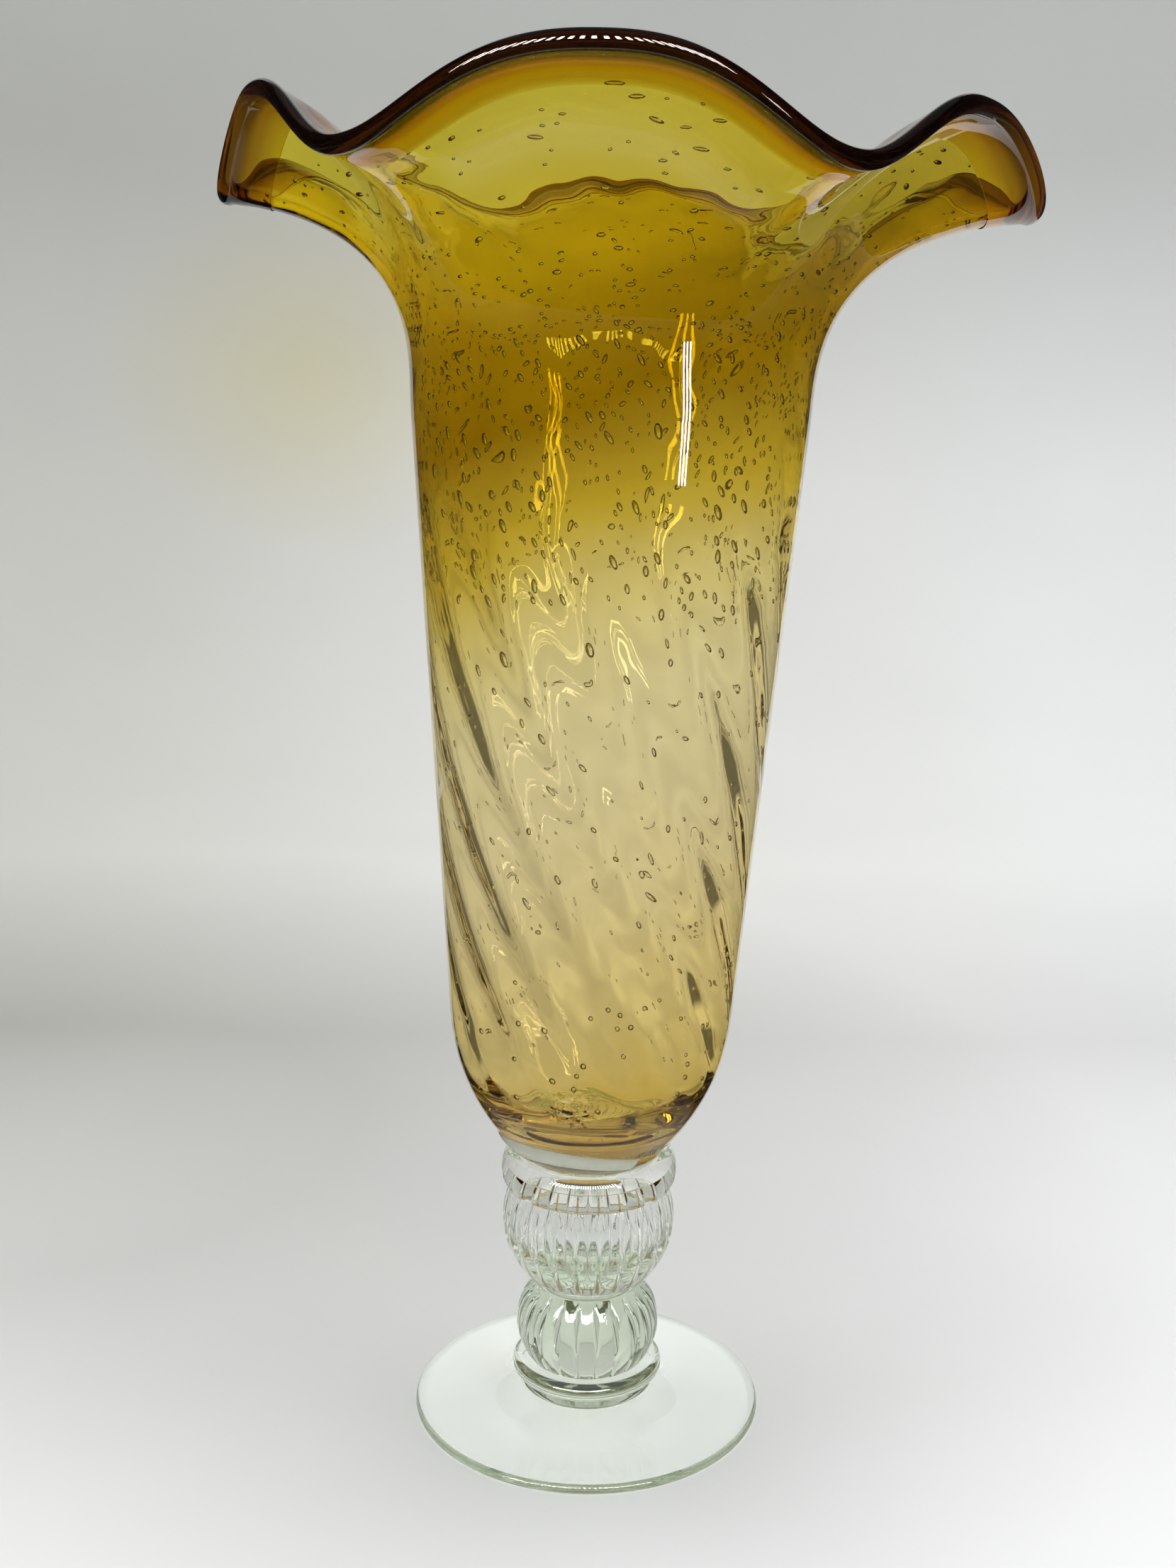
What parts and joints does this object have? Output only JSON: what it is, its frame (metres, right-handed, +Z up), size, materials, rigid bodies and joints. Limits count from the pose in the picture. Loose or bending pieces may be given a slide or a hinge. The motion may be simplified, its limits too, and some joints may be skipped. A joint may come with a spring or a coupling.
{
  "type": "ruffled vase",
  "caption": "Blown glass flower vase: amber trumpet bowl with a ruffled dark lip, on a clear stem of ribbed balls and a disc foot.",
  "frame": {"origin": "centre of the foot's underside, where the vase stands", "axes": "+Z up the stem and bowl, -Y the pictured front, +X to the right seen from the front"},
  "size_m": [0.2417, 0.2339, 0.4139],
  "materials": {
    "clear_glass": "polished clear glass with a faint green tint",
    "amber_glass": "polished transparent amber glass with seeds and optic ribs",
    "lip_glass": "polished dark amber glass"
  },
  "bodies": {
    "root": {"foot": "clear_glass", "foot_ring": "clear_glass", "lower_knop": "clear_glass", "waist_wafer": "clear_glass", "upper_knop": "clear_glass", "collar": "clear_glass", "bowl_pad": "clear_glass", "bowl": "amber_glass", "lip_wrap": "lip_glass"}
  },
  "joints": []
}
